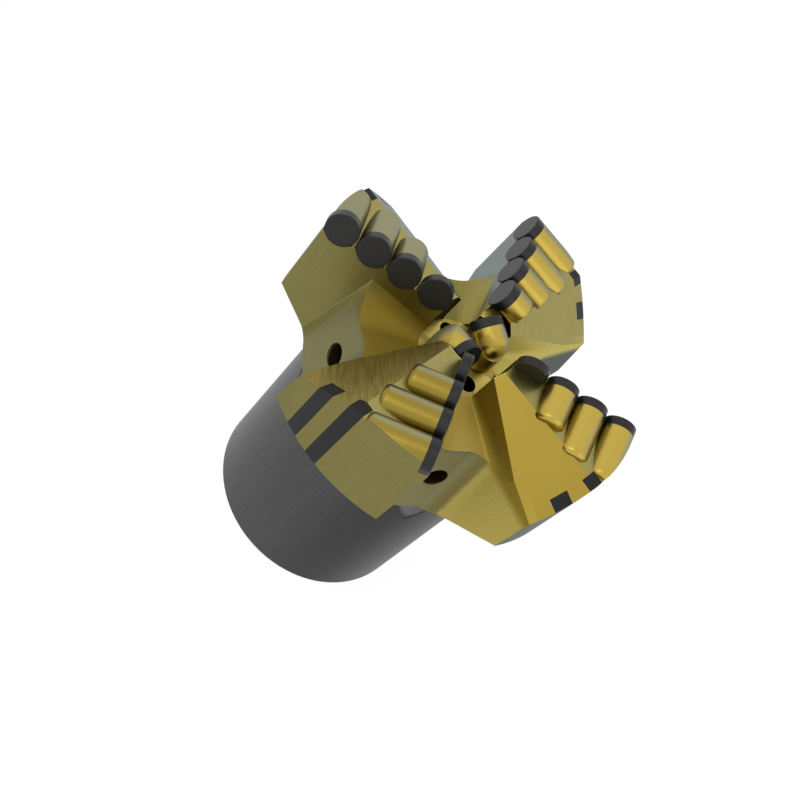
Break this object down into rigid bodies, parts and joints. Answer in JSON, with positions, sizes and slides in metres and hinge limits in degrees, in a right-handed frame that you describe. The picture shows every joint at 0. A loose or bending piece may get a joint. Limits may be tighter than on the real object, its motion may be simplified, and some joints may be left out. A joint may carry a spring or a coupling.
{
  "type": "pdc drill bit",
  "caption": "Steel-body PDC drill bit: blades set with brazed round diamond cutters on backing posts, deep junk slots with water holes, carbide gauge strips, plain round shank",
  "frame": {"origin": "centre of the shank's lower face", "axes": "+Z along the bit's axis towards the cutters; +X out along one blade"},
  "size_m": [0.1452, 0.1452, 0.1521],
  "materials": {
    "body_steel": "brushed, gold-coloured",
    "shank_steel": "brushed dark grey",
    "cutter": "smooth dark grey",
    "gauge_strip": "smooth dark grey"
  },
  "bodies": {
    "root": {"bit_body": "body_steel", "shank": "shank_steel", "pdc_cutter_01": "cutter", "pdc_cutter_02": "cutter", "pdc_cutter_03": "cutter", "pdc_cutter_04": "cutter", "pdc_cutter_05": "cutter", "pdc_cutter_06": "cutter", "pdc_cutter_07": "cutter", "pdc_cutter_08": "cutter", "pdc_cutter_09": "cutter", "pdc_cutter_10": "cutter", "pdc_cutter_11": "cutter", "pdc_cutter_12": "cutter", "pdc_cutter_13": "cutter", "pdc_cutter_14": "cutter", "pdc_cutter_15": "cutter", "pdc_cutter_16": "cutter", "pdc_cutter_17": "cutter", "pdc_cutter_18": "cutter", "gauge_strip_01": "gauge_strip", "gauge_strip_02": "gauge_strip", "gauge_strip_03": "gauge_strip", "gauge_strip_04": "gauge_strip", "gauge_strip_05": "gauge_strip", "gauge_strip_06": "gauge_strip", "gauge_strip_07": "gauge_strip", "gauge_strip_08": "gauge_strip"}
  },
  "joints": []
}
